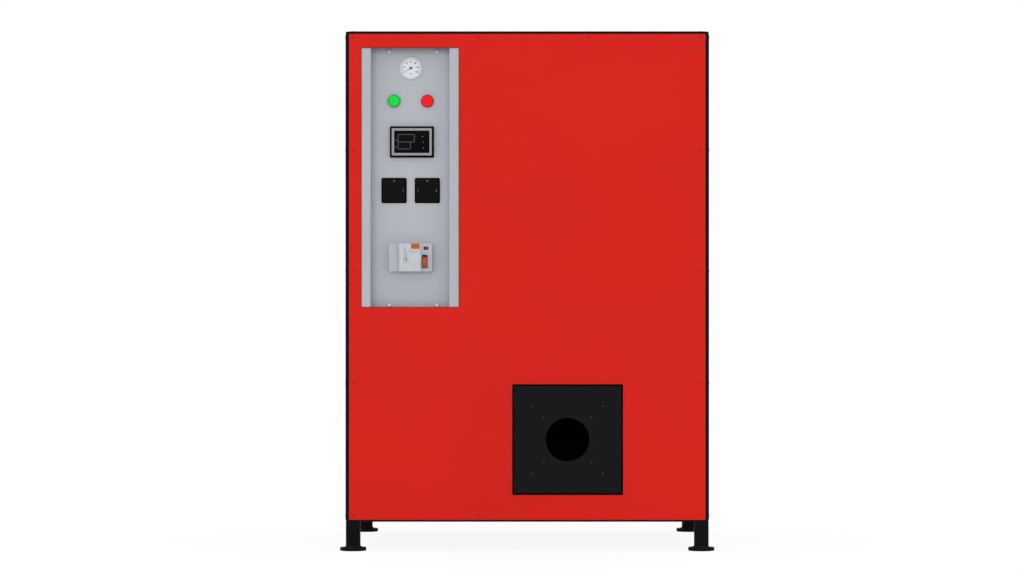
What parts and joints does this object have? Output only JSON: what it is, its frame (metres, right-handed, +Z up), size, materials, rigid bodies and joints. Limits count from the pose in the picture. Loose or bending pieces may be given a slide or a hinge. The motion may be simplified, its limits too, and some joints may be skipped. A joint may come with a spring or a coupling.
{
  "type": "floor-standing boiler",
  "caption": "Red sheet-metal boiler cabinet on a black tube frame with legs, a recessed instrument tray and a burner mounting plate.",
  "frame": {"origin": "on the floor under the middle of the tube frame", "axes": "+Z up, front with the controls and the burner plate towards -Y, +X to the right seen from the front"},
  "size_m": [0.93, 0.73, 1.2892],
  "materials": {
    "frame_paint": "satin black powder coat on square steel tube",
    "panel_paint": "signal red powder coat on steel sheet",
    "galvanised_sheet": "zinc-coated sheet",
    "tray_paint": "light blue-grey powder coat",
    "gauge_steel": "satin steel bezel",
    "dial_face": "white printed dial",
    "pointer_black": "matt black pointer",
    "clear_glass": "clear flat glass",
    "green_ring": "green collar",
    "green_lens": "green lens",
    "red_ring": "dark red collar",
    "red_lens": "red lens",
    "controller_black": "black moulded case",
    "bezel_grey": "grey moulded bezel",
    "screen_black": "black glossy display window",
    "switch_black": "black moulded plate",
    "breaker_grey": "light grey moulding",
    "breaker_white": "off-white moulding",
    "window_red": "dark red status window",
    "toggle_orange": "orange drum with a black lever",
    "burner_paint": "heat-resistant black paint on a steel plate",
    "sleeve_ceramic": "soot-dark ceramic insulation",
    "furnace_steel": "dark heat-stained steel",
    "screw_steel": "zinc-plated screw heads",
    "screw_red": "screw heads painted with the panels",
    "mark_white": "printed marks",
    "label_orange": "orange insert"
  },
  "bodies": {
    "boiler": {"post_front_left": "frame_paint", "post_front_right": "frame_paint", "post_rear_left": "frame_paint", "post_rear_right": "frame_paint", "foot_front_left": "frame_paint", "foot_front_right": "frame_paint", "foot_rear_left": "frame_paint", "foot_rear_right": "frame_paint", "top_rail_front": "frame_paint", "top_rail_rear": "frame_paint", "top_rail_left": "frame_paint", "top_rail_right": "frame_paint", "bottom_rail_front": "frame_paint", "bottom_rail_rear": "frame_paint", "bottom_rail_left": "frame_paint", "bottom_rail_right": "frame_paint", "cross_rails": "frame_paint", "front_panel": "panel_paint", "left_panel": "panel_paint", "right_panel": "panel_paint", "back_panel": "panel_paint", "top_panel": "panel_paint", "floor_sheet": "galvanised_sheet", "control_tray": "tray_paint", "gauge_case": "gauge_steel", "gauge_dial": "dial_face", "gauge_pointer": "pointer_black", "gauge_glass": "clear_glass", "green_lamp_ring": "green_ring", "green_lamp_lens": "green_lens", "red_lamp_ring": "red_ring", "red_lamp_lens": "red_lens", "controller_housing": "controller_black", "controller_bezel": "bezel_grey", "controller_screen": "screen_black", "switch_plate_left": "switch_black", "switch_plate_right": "switch_black", "breaker_body": "breaker_grey", "breaker_cover": "breaker_white", "breaker_window": "window_red", "burner_plate": "burner_paint", "burner_sleeve": "sleeve_ceramic", "furnace": "furnace_steel", "furnace_saddles": "furnace_steel"},
    "toggle": {"breaker_toggle": "toggle_orange"}
  },
  "joints": [
    {"name": "toggle_hinge", "type": "hinge", "parent": "boiler", "child": "toggle", "pos_m": [-0.25475, -0.324, 0.7175], "axis": [1, 0, 0], "range_deg": [0, 100]}
  ]
}
